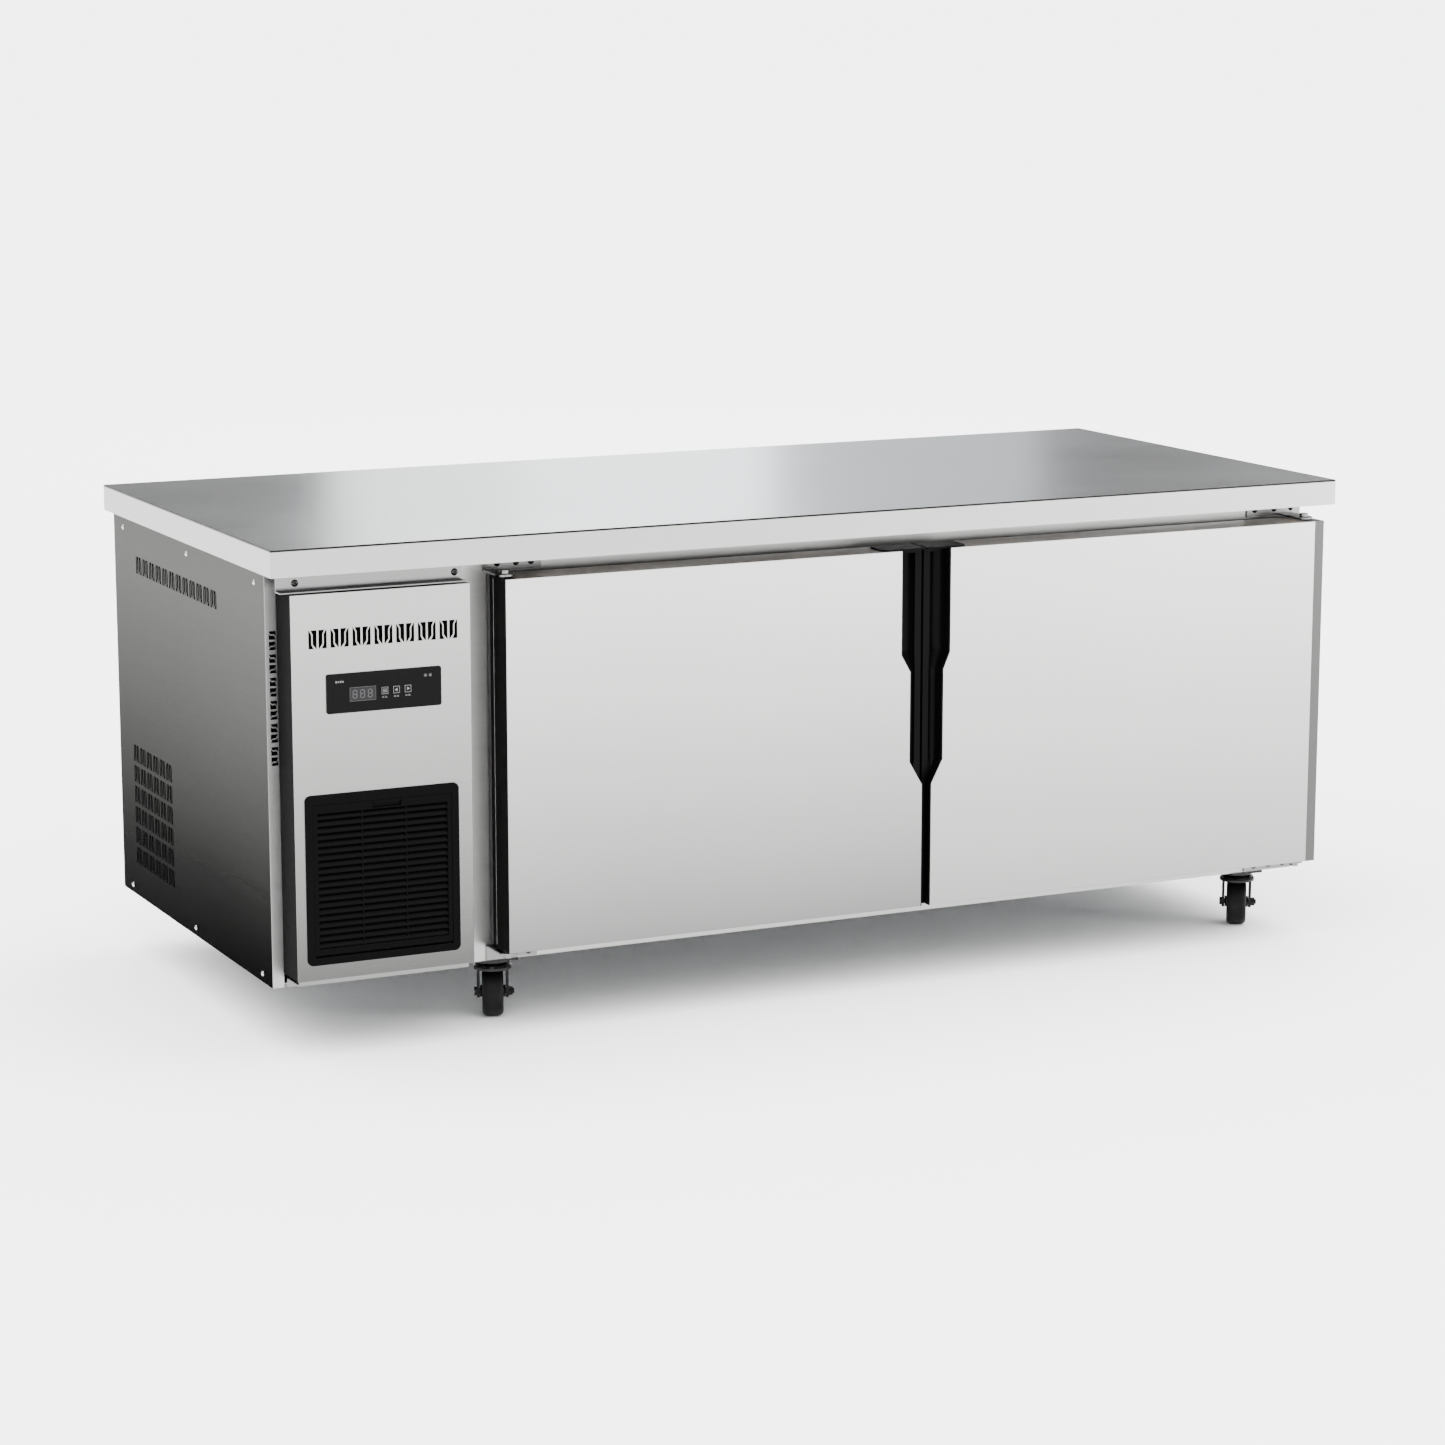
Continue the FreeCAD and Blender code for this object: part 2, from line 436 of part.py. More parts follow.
def door(width, steel_from, steps, pin_u, trim_w, liner_from, gasket_u, dyke_u):
    """One door, hinged at u = 0 and drawn along +X.  Returns its separate pieces."""
    low, mid, high = steps
    z0, z1 = DOOR_Z
    back = FLANGE_Y - 0.2
    face = FRONT_Y + 1.2
    edge = step_edge(low, mid, high)
    skin = fuse(prism([(steel_from, z0)] + edge + [(steel_from, z1)], FRONT_Y, face),
                box(trim_w, high, FRONT_Y, back, z1 - 1.2, z1),
                box(trim_w, low, FRONT_Y, back, z0, z0 + 1.2))
    skin = rounded(skin, 0.8, lambda e: runs(e, V(1, 0, 0)) and near(e, "y", FRONT_Y))

    grip = prism(edge + [(width, z1), (width, z0)], face - 0.9, back)
    wall = step_edge(low + 2.0, mid + 2.5, high + 2.5)
    wall[0] = (wall[0][0], z0 - 1)
    wall[-1] = (wall[-1][0], z1 + 1)
    grip = cut(grip, prism(wall + [(width + 1, z1 + 1), (width + 1, z0 - 1)], FRONT_Y - 1, -382.0))
    for hollow in hand_channel(width, steps):
        grip = cut(grip, hollow)
    cap = rounded(box(high - 30, width, -394, -340, z1, z1 + 2.6), 12.0,
                  lambda e: runs(e, V(0, 0, 1)) and near(e, "x", high - 30))
    grip = fuse(grip, cap)

    trim = box(0, trim_w - 0.1, face + 0.1, back, z0, z1)
    if steel_from > 0:
        trim = fuse(trim, box(0, steel_from - 0.2, FRONT_Y, face + 1, z0, z1))
    trim = rounded(trim, 2.0, lambda e: runs(e, V(0, 0, 1)) and near(e, "x", 0))
    trim = cut(trim, rod((pin_u, PIVOT_Y, z1 + 1), (pin_u, PIVOT_Y, z1 - 16), 4.0 + FIT),
               rod((pin_u, PIVOT_Y, z0 - 1), (pin_u, PIVOT_Y, z0 + 16), 4.0 + FIT))

    inner = step_edge(low - 0.3, mid - 0.3, high - 0.3)
    inner[0] = (inner[0][0], z0 + 1.4)
    inner[-1] = (inner[-1][0], z1 - 1.4)
    body = prism([(trim_w, z0 + 1.4)] + inner + [(trim_w, z1 - 1.4)], face + 0.2, FLANGE_Y)
    body = fuse(body, box(liner_from, width - 1.5, FLANGE_Y, -322, z0 + 1, z1 - 1))
    gz0, gz1 = 135.0, 681.0
    g_w = 18.0
    outer = box(gasket_u[0], gasket_u[1], -331.5, -310, gz0, gz1)
    inside = box(gasket_u[0] + g_w, gasket_u[1] - g_w, -340, -300, gz0 + g_w, gz1 - g_w)
    body = cut(body, cut(outer, inside))
    body = fuse(body, rounded(box(dyke_u[0], dyke_u[1], -323, -305, 163, 654), 6.0,
                              lambda e: near(e, "y", -305)))
    c = 0.2
    y0, y1 = -331.4, FRAME_Y - GAP
    strips = [box(gasket_u[0] + c, gasket_u[0] + g_w - c, y0, y1, gz0 + c, gz1 - c),
              box(gasket_u[1] - g_w + c, gasket_u[1] - c, y0, y1, gz0 + c, gz1 - c),
              box(gasket_u[0] + g_w, gasket_u[1] - g_w, y0, y1, gz0 + c, gz0 + g_w - c),
              box(gasket_u[0] + g_w, gasket_u[1] - g_w, y0, y1, gz1 - g_w + c, gz1 - c)]
    gasket = Part.makeCompound([rounded(strip, 2.5, lambda e: near(e, "y", y1)) for strip in strips])
    return {"skin": skin, "handle": grip, "hinge_trim": trim, "liner": body, "gasket": gasket}


left_door = door(694.5, 0.0, (690.5, 668.5, 653.0), 9.0, 18.0, 1.0, (16.0, 684.0), (47.0, 655.0))
for part_name, shape in left_door.items():
    nodes["door_left_" + part_name] = moved(shape, DOOR_LEFT_EDGE)
right_door = door(724.5, 18.0, (716.0, 696.5, 685.0), 22.0, 32.0, 14.0, (28.0, 712.0), (60.0, 684.0))
for part_name, shape in right_door.items():
    flipped = shape.mirror(V(0, 0, 0), V(1, 0, 0))
    nodes["door_right_" + part_name] = moved(flipped, DOOR_RIGHT_EDGE)
PIVOT_LEFT = DOOR_LEFT_EDGE + 9.0
PIVOT_RIGHT = DOOR_RIGHT_EDGE - 22.0


# ---- hinge brackets --------------------------------------------------------------------------
def hinge_bracket(pivot_x, x0, x1, top_side):
    """An angle plate: one leg on the front frame, the other reaching out to the pivot pin."""
    if top_side:
        leg_z, plate_z = (686.2, TOP_Z - 0.3), (686.2, 688.7)
        pin = (686.2, DOOR_Z[1] - 15)
        collar = (DOOR_Z[1] + GAP, 686.3)
        nut = (688.7, 694.5)
    else:
        leg_z, plate_z = (BODY_Z + 1.5, 121.2), (118.7, 121.2)
        pin = (121.2, DOOR_Z[0] + 15)
        collar = (121.1, DOOR_Z[0] - GAP)
        nut = (113.0, 118.7)
    leg = box(x0, x1, FRAME_Y - 2.5, FRAME_Y - 0.05, leg_z[0], leg_z[1])
    plate = fuse(box(pivot_x - 14, pivot_x + 14, PIVOT_Y, FRAME_Y - 0.05, plate_z[0], plate_z[1]),
                 rod((pivot_x, PIVOT_Y, plate_z[0]), (pivot_x, PIVOT_Y, plate_z[1]), 14.0))
    return fuse(leg, plate, rod((pivot_x, PIVOT_Y, pin[0]), (pivot_x, PIVOT_Y, pin[1]), 4.0),
                rod((pivot_x, PIVOT_Y, collar[0]), (pivot_x, PIVOT_Y, collar[1]), 7.5),
                rod((pivot_x, PIVOT_Y, nut[0]), (pivot_x, PIVOT_Y, nut[1]), 7.0))


nodes["hinge_brackets"] = Part.makeCompound([
    hinge_bracket(PIVOT_LEFT, -547, -453, True), hinge_bracket(PIVOT_LEFT, -547, -465, False),
    hinge_bracket(PIVOT_RIGHT, 784, 885, True), hinge_bracket(PIVOT_RIGHT, 796, 885, False)])


def dome_screw(x, y, z, facing, r=5.0, h=3.0):
    """A domed screw head; facing is the way the dome points."""
    ball_r = (r * r + h * h) / (2 * h)
    cap = Part.makeSphere(ball_r, V(0, 0, h - ball_r)).common(Part.makeBox(40, 40, 20, V(-20, -20, 0.0)))
    if facing == "-y":
        cap = turned(cap, 90, V(1, 0, 0))
    if facing == "-x":
        cap = turned(cap, -90, V(0, 1, 0))
    if facing == "+x":
        cap = turned(cap, 90, V(0, 1, 0))
    if facing == "+y":
        cap = turned(cap, -90, V(1, 0, 0))
    return moved(cap, x, y, z)


screw_y = FRAME_Y - 2.55
bracket_screws = [dome_screw(x, screw_y, 697.0, "-y") for x in (-523, -493, -469, 799, 836, 868)]
bracket_screws += [dome_screw(x, screw_y, 106.0, "-y") for x in (-500, -479, 815, 843, 871)]
bracket_screws += [dome_screw(x, bracket_y - 0.05, 697.0, "-y", 5.5, 3.5) for x in (-855, -611)]
nodes["bracket_screws"] = Part.makeCompound(bracket_screws)
side_screws = [dome_screw(-BODY_X - 0.02, y, z, "-x", 4.0, 2.0)
               for z in (689.0, 109.5) for y in (-290.0, 20.0, 340.0)]
side_screws += [dome_screw(BODY_X + 0.02, y, z, "+x", 4.0, 2.0)
                for z in (689.0, 109.5) for y in (-270.0, 20.0, 340.0)]
side_screws += [dome_screw(x, BODY_BACK + 0.02, z, "+y", 4.0, 2.0)
                for z in (689.0, 109.5) for x in (-874.0, -588.0, -560.0, 156.0, 872.0)]
nodes["panel_screws"] = Part.makeCompound(side_screws)


# ---- casters -------------------------------------------------------------------------------
PLATE_Z = 93.8
CROWN_Z = (78.5, 87.2)


def caster_plate():
    plate = rounded(box(-31, 31, -31, 31, PLATE_Z, BODY_Z - 0.1), 5.0, lambda e: runs(e, V(0, 0, 1)))
    race = revolve([(0, 87.6), (22, 87.6), (25, 90), (25, PLATE_Z + 0.5), (0, PLATE_Z + 0.5)])
    return fuse(plate, race, Part.makeCylinder(5.0, 14.0, V(0, 0, 77.0)), Part.makeCylinder(8.0, 2.4, V(0, 0, 75.8)))


def caster_fork():
    crown = revolve([(0, CROWN_Z[0]), (28.5, CROWN_Z[0]), (28.5, 82), (26, 86), (18, CROWN_Z[1]), (0, CROWN_Z[1])])
    gap = CHEEK_X
    cheek = [(-14, 81), (16, 81), (TRAIL + 11, 62), (TRAIL + 11, 44), (TRAIL + 7, 29), (TRAIL - 7, 29), (TRAIL - 12, 44)]
    cheeks = [side_prism(cheek, gap, gap + 4.5), side_prism(cheek, -gap - 4.5, -gap)]
    bolt = rod((-gap - 2, TRAIL, WHEEL_R), (gap + 13, TRAIL, WHEEL_R), 4.0)
    head = rod((-gap - 8.5, TRAIL, WHEEL_R), (-gap - 4, TRAIL, WHEEL_R), 6.5)
    hexagon = [(TRAIL + 7.2 * math.cos(math.radians(a)), WHEEL_R + 7.2 * math.sin(math.radians(a)))
               for a in range(0, 360, 60)]
    nut = side_prism(hexagon, gap + 4.0, gap + 10.5)
    body = fuse(crown, bolt, head, nut, *cheeks)
    return cut(body, Part.makeCylinder(5.0 + FIT, 40.0, V(0, 0, 70.0)))


def caster_wheel():
    w = WHEEL_W / 2
    tread = revolve([(14, -w + 5), (31, -w + 5), (31, -w), (34, -w + 0.8), (36.5, -w + 3.5), (WHEEL_R, -w + 8),
                     (WHEEL_R, w - 8), (36.5, w - 3.5), (34, w - 0.8), (31, w), (31, w - 5), (14, w - 5)])
    hub = Part.makeCylinder(9.0, 2 * (CHEEK_X - GAP), V(0, 0, GAP - CHEEK_X))
    wheel = cut(fuse(tread, Part.makeCylinder(15.0, 2 * w - 10, V(0, 0, -w + 5)), hub),
                Part.makeCylinder(4.0 + FIT, 100.0, V(0, 0, -50)))
    return moved(turned(wheel, 90, V(0, 1, 0)), 0, TRAIL, WHEEL_R)


nodes["caster_plates"] = Part.makeCompound([moved(caster_plate(), x, y) for x, y, angle in CASTERS.values()])
for corner, (x, y, angle) in CASTERS.items():
    nodes["caster_fork_" + corner] = moved(turned(caster_fork(), -angle), x, y)
    nodes["caster_wheel_" + corner] = moved(turned(caster_wheel(), -angle), x, y)

# ---- write one file per piece ------------------------------------------------------------------
os.makedirs("parts", exist_ok=True)
for name, shape in nodes.items():
    shape.exportStep("parts/%s.step" % name)
    print("%-28s solids %3d  volume %10.1f cm3  valid %s" % (name, len(shape.Solids), shape.Volume / 1000.0,
                                                             shape.isValid()))
print(len(nodes), "pieces")
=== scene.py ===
# %% [markdown]
# # Undercounter refrigerator
# A low two-door counter fridge in brushed stainless steel.  A flat worktop covers the whole cabinet,
# a machine compartment with its controller and air grille sits at the left, and two swing doors with
# black full-height grips fill the rest.  The solids come from the CAD frame; this lesson gives them
# their finishes, adds the small printed and formed details, and sets the light and the camera.

# %% load the frame
import math

import bmesh
import bpy
from mathutils import Matrix, Vector


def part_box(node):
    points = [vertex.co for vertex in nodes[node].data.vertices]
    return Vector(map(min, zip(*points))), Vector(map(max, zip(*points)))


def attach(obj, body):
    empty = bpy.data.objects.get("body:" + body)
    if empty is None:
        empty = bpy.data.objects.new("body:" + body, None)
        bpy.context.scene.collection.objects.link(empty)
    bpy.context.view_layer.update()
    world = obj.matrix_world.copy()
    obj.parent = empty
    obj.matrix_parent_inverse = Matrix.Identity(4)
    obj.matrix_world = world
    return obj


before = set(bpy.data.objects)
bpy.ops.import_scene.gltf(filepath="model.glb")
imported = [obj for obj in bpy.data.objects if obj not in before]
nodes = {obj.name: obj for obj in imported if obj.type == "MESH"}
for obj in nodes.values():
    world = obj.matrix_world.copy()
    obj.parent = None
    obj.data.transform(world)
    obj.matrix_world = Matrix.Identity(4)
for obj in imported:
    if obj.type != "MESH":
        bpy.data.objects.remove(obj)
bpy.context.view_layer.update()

# %% [markdown]
# ## A small kit for finishes
# Every finish starts from the same three parts: a colour, a roughness that changes a little from
# place to place, and a very fine relief.  The patterns are noise in object space, measured in
# metres, so a brushed sheet has the same grain on every panel and never stretches.

# %% material helpers
def new_material(name, color, roughness, metallic=0.0):
    mat = bpy.data.materials.new(name)
    mat.use_nodes = True
    tree = mat.node_tree
    shader = tree.nodes["Principled BSDF"]
    shader.inputs["Base Color"].default_value = (*color, 1.0)
    shader.inputs["Roughness"].default_value = roughness
    shader.inputs["Metallic"].default_value = metallic
    return mat, tree, shader


def noise(tree, scale, detail=2.0, rough=0.5):
    """A noise value; scale is cycles per metre along x, y and z."""
    coords = tree.nodes.new("ShaderNodeTexCoord")
    mapping = tree.nodes.new("ShaderNodeMapping")
    mapping.inputs["Scale"].default_value = scale
    tex = tree.nodes.new("ShaderNodeTexNoise")
    tex.inputs["Scale"].default_value = 1.0
    tex.inputs["Detail"].default_value = detail
    tex.inputs["Roughness"].default_value = rough
    tree.links.new(coords.outputs["Object"], mapping.inputs["Vector"])
    tree.links.new(mapping.outputs["Vector"], tex.inputs["Vector"])
    return tex.outputs["Fac"]


def spread(tree, value, low, high):
    """Maps the middle of a noise onto the range low..high."""
    ramp = tree.nodes.new("ShaderNodeMapRange")
    ramp.inputs["From Min"].default_value = 0.3
    ramp.inputs["From Max"].default_value = 0.7
    ramp.inputs["To Min"].default_value = low
    ramp.inputs["To Max"].default_value = high
    tree.links.new(value, ramp.inputs["Value"])
    return ramp.outputs["Result"]


def total(tree, a, b):
    add = tree.nodes.new("ShaderNodeMath")
    add.operation = "ADD"
    tree.links.new(a, add.inputs[0])
    tree.links.new(b, add.inputs[1])
    return add.outputs[0]


def tint(tree, shader, value, low, high):
    """Lets the base colour drift between two close shades."""
    mix = tree.nodes.new("ShaderNodeMix")
    mix.data_type = "RGBA"
    mix.inputs["A"].default_value = (*low, 1.0)
    mix.inputs["B"].default_value = (*high, 1.0)
    tree.links.new(spread(tree, value, 0.0, 1.0), mix.inputs["Factor"])
    tree.links.new(mix.outputs["Result"], shader.inputs["Base Color"])


def shade_by_height(tree, shader, low_z, high_z, low_share, high_share=1.0):
    """Scales the base colour by a share that changes evenly between two heights, in metres."""
    coords = tree.nodes.new("ShaderNodeTexCoord")
    parts = tree.nodes.new("ShaderNodeSeparateXYZ")
    ramp = tree.nodes.new("ShaderNodeMapRange")
    ramp.inputs["From Min"].default_value = low_z
    ramp.inputs["From Max"].default_value = high_z
    ramp.inputs["To Min"].default_value = low_share
    ramp.inputs["To Max"].default_value = high_share
    scale = tree.nodes.new("ShaderNodeVectorMath")
    scale.operation = "SCALE"
    color = shader.inputs["Base Color"].links[0].from_socket
    tree.links.new(coords.outputs["Object"], parts.inputs["Vector"])
    tree.links.new(parts.outputs["Z"], ramp.inputs["Value"])
    tree.links.new(color, scale.inputs["Vector"])
    tree.links.new(ramp.outputs["Result"], scale.inputs["Scale"])
    tree.links.new(scale.outputs["Vector"], shader.inputs["Base Color"])


def relief(tree, shader, value, height, strength):
    bump = tree.nodes.new("ShaderNodeBump")
    bump.inputs["Distance"].default_value = height
    bump.inputs["Strength"].default_value = strength
    tree.links.new(value, bump.inputs["Height"])
    tree.links.new(bump.outputs["Normal"], shader.inputs["Normal"])


def scaled(color, k):
    return tuple(c * k for c in color)


# %% [markdown]
# ## Brushed stainless steel
# The sheets are rolled and then brushed in one direction, so the surface is a field of fine parallel
# scratches.  Light spreads across the scratches and stays sharp along them.  A noise that is
# squeezed hard across the grain makes the scratches, a slow noise makes the faint clouds left by
# handling and by the rolling mill, and a tangent laid along the grain shapes the highlight.
#
# The lower parts of upright sheets mirror a darker part of the room.  A slow darkening of the colour
# toward the floor stands in for that, and it is not a property of real steel.

# %% steel finishes
DARK_Z, CLEAR_Z = 0.08, 0.66    # the sheets grow darker toward the floor between these heights
UPRIGHT_GRAIN = (6.0, 6.0, 1400.0)
TOP_GRAIN = (5.0, 1200.0, 1200.0)
SCRATCH = 0.00004


def brushed(name, color, roughness, grain, tangent_axis, clouds=0.03, depth=0.25, bend=0.45, foot=1.0):
    """Steel with a grain; foot is the share of the colour left at the bottom edge."""
    mat, tree, shader = new_material(name, color, roughness, 1.0)
    fine = noise(tree, grain, 3.0, 0.6)
    slow = noise(tree, (2.1, 2.1, 2.1), 2.0)
    scratches = spread(tree, fine, -0.05, 0.05)
    wear = total(tree, scratches, spread(tree, slow, roughness - clouds, roughness + clouds))
    tree.links.new(wear, shader.inputs["Roughness"])
    tint(tree, shader, fine, scaled(color, 0.965), scaled(color, 1.03))
    if foot < 1.0:
        shade_by_height(tree, shader, DARK_Z, CLEAR_Z, foot)
    relief(tree, shader, fine, SCRATCH, depth)
    shader.inputs["Anisotropic"].default_value = bend
    tangent = tree.nodes.new("ShaderNodeTangent")
    tangent.direction_type = "RADIAL"
    tangent.axis = tangent_axis
    tree.links.new(tangent.outputs["Tangent"], shader.inputs["Tangent"])
    return mat


# Several copies of the same brushed steel differ mainly in tone by place.  The end panel is a far darker copy
# whose foot goes almost black: painted shade on the side turned from the light.  The brackets take a much
# darker copy, and the worktop's upright edges a darker one too: painted shade. The right door's copy darkens
# less toward the floor: painted light on that door.  The machine panel with the mullion and the front frame
# take darker tones of their own.
steel_door = brushed("steel_door", (0.47, 0.466, 0.46), 0.34, UPRIGHT_GRAIN, "Z", foot=0.28)
steel_door_right = brushed("steel_door_right", (0.455, 0.451, 0.445), 0.34, UPRIGHT_GRAIN, "Z", foot=0.55)
steel_panel = brushed("steel_panel", (0.30, 0.297, 0.292), 0.32, UPRIGHT_GRAIN, "Z", foot=0.20)
steel_side_shaded = brushed("steel_side_shaded", (0.115, 0.115, 0.113), 0.33, (1400.0, 6.0, 1400.0), "Z", foot=0.04)
steel_top = brushed("steel_top", (0.42, 0.43, 0.437), 0.22, TOP_GRAIN, "Y", clouds=0.02)
steel_painted_dark = brushed("steel_painted_dark", (0.012, 0.012, 0.012), 0.35, TOP_GRAIN, "Y")
steel_apron_shaded = brushed("steel_apron_shaded", (0.33, 0.328, 0.324), 0.32, UPRIGHT_GRAIN, "Z")
steel_frame = brushed("steel_frame", (0.30, 0.299, 0.295), 0.34, (6.0, 6.0, 500.0), "Z", clouds=0.01,
                      depth=0.1)
steel_bracket_shaded = brushed("steel_bracket_shaded", (0.15, 0.15, 0.148), 0.26, (6.0, 6.0, 900.0), "Z")
steel_small = brushed("steel_small", (0.44, 0.44, 0.435), 0.22, (60.0, 60.0, 900.0), "Z")
steel_liner = brushed("steel_liner", (0.56, 0.565, 0.57), 0.38, (8.0, 8.0, 900.0), "Z")

# just under the fold a thin band of the worktop's edge is darkened almost to black: a painted dark reflection
# that reads as a fine dark line
EDGE_LINE_Z = (0.7468, 0.7474)
EDGE_LINE_SHARE = 0.04
apron_tree = steel_apron_shaded.node_tree
shade_by_height(apron_tree, apron_tree.nodes["Principled BSDF"], *EDGE_LINE_Z, 1.0, EDGE_LINE_SHARE)
# the end panel's reflection is tinted darker, so it mirrors less than the fronts at a glancing view: painted
# shade on the side turned from the light
SIDE_SHADE_TINT = 0.35
side_shader = steel_side_shaded.node_tree.nodes["Principled BSDF"]
side_shader.inputs["Specular Tint"].default_value = (SIDE_SHADE_TINT, SIDE_SHADE_TINT, SIDE_SHADE_TINT, 1.0)
print("steel finishes:", [m.name for m in bpy.data.materials if m.name.startswith("steel")])

# %% [markdown]
# ## Galvanised sheet
# The back, the base and the drip tray are zinc-coated.  Zinc freezes in flat crystals, so the sheet
# shows patches of slightly different grey.  A cell texture gives the patches, and it changes both
# the colour and the roughness of each one.

# %% galvanised finish
zinc, tree, shader = new_material("galvanised", (0.34, 0.345, 0.35), 0.42, 1.0)
coords = tree.nodes.new("ShaderNodeTexCoord")
cells = tree.nodes.new("ShaderNodeTexVoronoi")
cells.inputs["Scale"].default_value = 90.0
tree.links.new(coords.outputs["Object"], cells.inputs["Vector"])
grey = tree.nodes.new("ShaderNodeRGBToBW")
tree.links.new(cells.outputs["Color"], grey.inputs["Color"])
tint(tree, shader, grey.outputs["Val"], (0.30, 0.306, 0.314), (0.39, 0.396, 0.402))
tree.links.new(spread(tree, grey.outputs["Val"], 0.36, 0.50), shader.inputs["Roughness"])

# %% [markdown]
# ## Plastics, rubber and paint
# The grips, trims and the grille are black moulded or extruded plastic with a satin grain.  The
# gaskets are soft vinyl and the wheels hard rubber.  The caster plates and forks, the compressor, the
# fan motor and the fan shroud have black enamel.  They differ mostly in roughness, in gloss and in how
# coarse their grain is.

# %% dull finishes
def satin(name, color, roughness, grain=900.0, height=0.00003, strength=0.3, drift=0.12, metallic=0.0,
          gloss=0.5):
    """A plain moulded or painted finish; gloss is how much it mirrors when it isn't metal."""
    mat, tree, shader = new_material(name, color, roughness, metallic)
    shader.inputs["Specular IOR Level"].default_value = gloss
    fine = noise(tree, (grain, grain, grain), 2.0)
    slow = noise(tree, (7.0, 7.0, 7.0), 3.0)
    tint(tree, shader, slow, scaled(color, 1.0 - drift), scaled(color, 1.0 + drift))
    patches = spread(tree, slow, roughness - 0.04, roughness + 0.04)
    wear = total(tree, spread(tree, fine, -0.03, 0.03), patches)
    tree.links.new(wear, shader.inputs["Roughness"])
    relief(tree, shader, fine, height, strength)
    return mat


black_plastic = satin("black_plastic", (0.0016, 0.0016, 0.0017), 0.33, gloss=0.03)
grille_plastic = satin("grille_plastic", (0.0012, 0.0012, 0.0013), 0.38, 700.0, gloss=0.022)
trim_plastic = satin("trim_plastic", (0.0050, 0.0050, 0.0050), 0.45, gloss=0.004)
filter_cloth = satin("filter_cloth", (0.0008, 0.0008, 0.0008), 0.8, 700.0, gloss=0.01)
grey_plastic = satin("grey_plastic", (0.035, 0.035, 0.037), 0.5, gloss=0.2)
fascia_film = satin("fascia_film", (0.0025, 0.0025, 0.0027), 0.30, 2500.0, 0.00001, 0.15, gloss=0.04)
key_plastic = satin("key_plastic", (0.0035, 0.0035, 0.0037), 0.38, 2000.0, gloss=0.04)
dark_liner = satin("dark_liner", (0.030, 0.030, 0.032), 0.48, 500.0, gloss=0.2)
gasket_vinyl = satin("gasket_vinyl", (0.040, 0.040, 0.042), 0.6, 1200.0, gloss=0.25)
tyre_rubber = satin("tyre_rubber", (0.0045, 0.0045, 0.0048), 0.50, 600.0, 0.00006, 0.35, gloss=0.10)
black_enamel = satin("black_enamel", (0.0060, 0.0060, 0.0062), 0.22, 300.0, 0.00004, 0.25, gloss=0.18)
foam = satin("foam", (0.55, 0.49, 0.33), 0.9, 350.0, 0.0004, 0.5, 0.06)
board = satin("board", (0.30, 0.20, 0.12), 0.75, 260.0, 0.0002, 0.4, 0.2)
wire_coat = satin("wire_coat", (0.50, 0.50, 0.49), 0.35, 200.0, 0.00005, 0.2, 0.03)
fins = satin("fins", (0.50, 0.51, 0.52), 0.33, 400.0, metallic=1.0, drift=0.04)
copper = satin("copper", (0.70, 0.36, 0.25), 0.24, 150.0, metallic=1.0, drift=0.06)
grey_trim = satin("grey_trim", (0.065, 0.065, 0.064), 0.36, 500.0, metallic=0.9, drift=0.03)
screw_dark = satin("screw_dark", (0.05, 0.05, 0.05), 0.17, 900.0, metallic=1.0)
screw_bright = satin("screw_bright", (0.50, 0.50, 0.49), 0.16, 900.0, metallic=1.0)
glass_dark = satin("display_glass", (0.006, 0.006, 0.007), 0.12, 3000.0, 0.000002, 0.05, gloss=0.15)
ink_pale = satin("ink_pale", (0.13, 0.13, 0.13), 0.5, 3000.0, gloss=0.1)
ink_dim = satin("ink_dim", (0.050, 0.050, 0.050), 0.5, 3000.0, gloss=0.1)
print("finishes made:", len(bpy.data.materials))

# %% [markdown]
# ## Give every solid its finish
# Each frame piece gets one finish.  The piece names say what they are, so a table from name to
# finish is enough, with the four corners of casters filled in by their prefix.

# %% assign finishes
finish = {
    "worktop_skin": steel_top, "worktop_core": board,
    "left_side_panel": steel_side_shaded, "right_side_panel": steel_side_shaded,
    "back_panel": zinc, "rear_vent_panel": zinc, "base_pan": zinc, "condensate_tray": zinc,
    "cable_gland": black_plastic, "insulation_foam": foam, "inner_liner": steel_liner,
    "front_frame": steel_frame,
    "centre_mullion": steel_panel, "evaporator_cover": steel_liner, "evaporator_unit": fins,
    "evaporator_fan": black_plastic, "shelf_left": wire_coat, "shelf_right": wire_coat,
    "shelf_uprights": steel_liner, "shelf_clips": steel_small, "machine_panel": steel_panel,
    "machine_panel_trim": trim_plastic, "machine_panel_brackets": steel_bracket_shaded,
    "control_fascia": fascia_film,
    "control_housing": grey_plastic, "display_window": glass_dark, "grille_frame": grille_plastic,
    "grille_hatch": grille_plastic, "air_filter": filter_cloth, "condenser": fins, "fan_shroud": black_enamel,
    "condenser_fan": fins, "condenser_fan_motor": black_enamel, "compressor": black_enamel,
    "refrigerant_pipes": copper, "hinge_brackets": steel_bracket_shaded, "bracket_screws": screw_dark,
    "panel_screws": screw_bright, "caster_plates": black_enamel,
    "door_right_skin": steel_door_right, "door_left_hinge_trim": trim_plastic,
    "door_right_hinge_trim": grey_trim,
}
by_ending = {"_skin": steel_door, "_handle": black_plastic, "_liner": dark_liner, "_gasket": gasket_vinyl}
for name, obj in nodes.items():
    mat = finish.get(name)
    if mat is None and name.startswith("door_"):
        mat = next(m for end, m in by_ending.items() if name.endswith(end))
    if mat is None and name.startswith("control_button"):
        mat = key_plastic
    if mat is None and name.startswith("caster_fork"):
        mat = black_enamel
    if mat is None and name.startswith("caster_wheel"):
        mat = tyre_rubber
    obj.data.materials.clear()
    obj.data.materials.append(mat)
print("finished pieces:", len(nodes))

